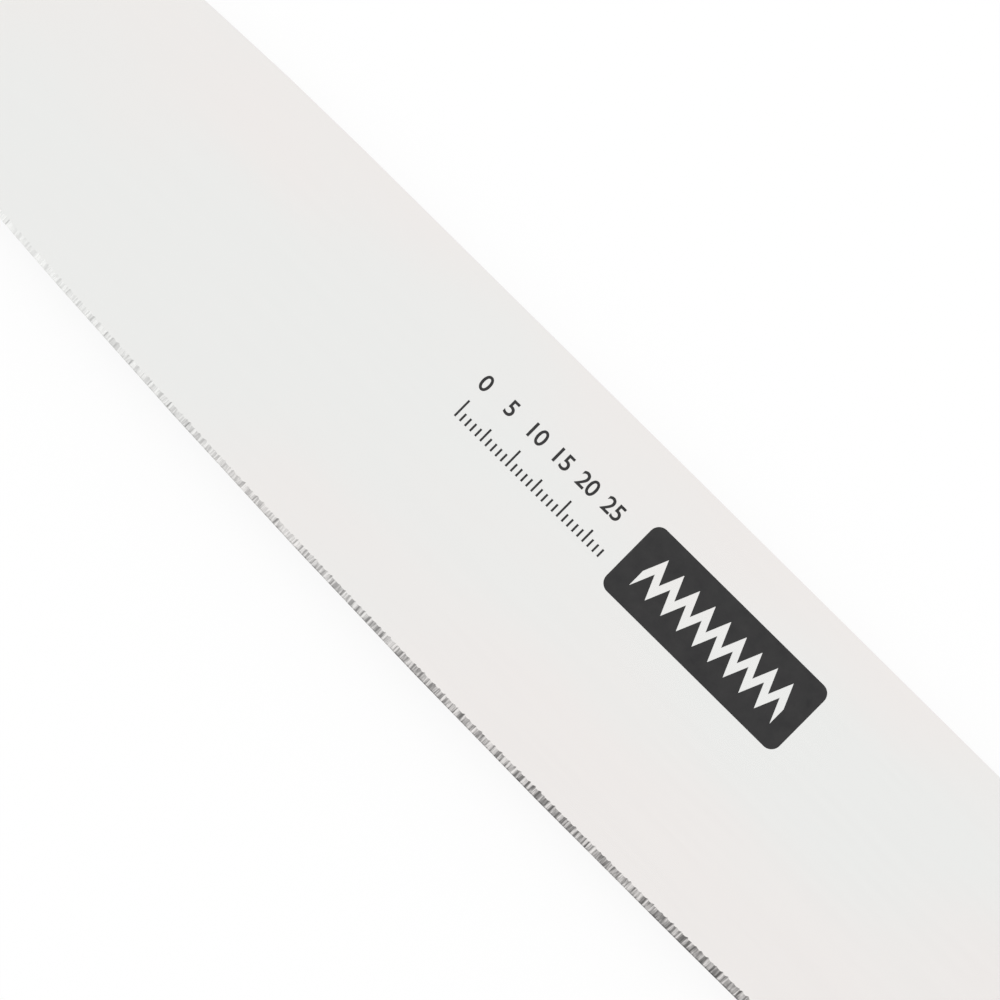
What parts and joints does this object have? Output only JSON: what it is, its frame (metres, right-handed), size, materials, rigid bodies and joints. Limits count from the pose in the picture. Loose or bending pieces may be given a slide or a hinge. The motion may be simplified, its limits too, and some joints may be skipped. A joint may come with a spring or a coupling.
{
  "type": "insulation knife",
  "caption": "Long, wide stainless knife with a finely toothed edge for cutting insulation, full tang, riveted wooden handle and a hanging eye.",
  "frame": {"origin": "under the middle of the knife's box, on the plane of the lower scale's flat side", "axes": "+X towards the butt of the handle, +Y towards the spine, +Z out of the toothed side of the blade"},
  "size_m": [0.455, 0.048, 0.02],
  "materials": {
    "blade_steel": "fine satin grind along the blade",
    "handle_wood": "oiled close-grained hardwood",
    "rivet_brass": "ground flush with the wood"
  },
  "bodies": {
    "root": {"blade": "blade_steel", "upper_scale": "handle_wood", "lower_scale": "handle_wood", "hanging_tube": "rivet_brass", "front_rivet_tube": "rivet_brass", "front_rivet_pin": "rivet_brass", "middle_rivet_tube": "rivet_brass", "middle_rivet_pin": "rivet_brass", "rear_rivet_tube": "rivet_brass", "rear_rivet_pin": "rivet_brass"}
  },
  "joints": []
}
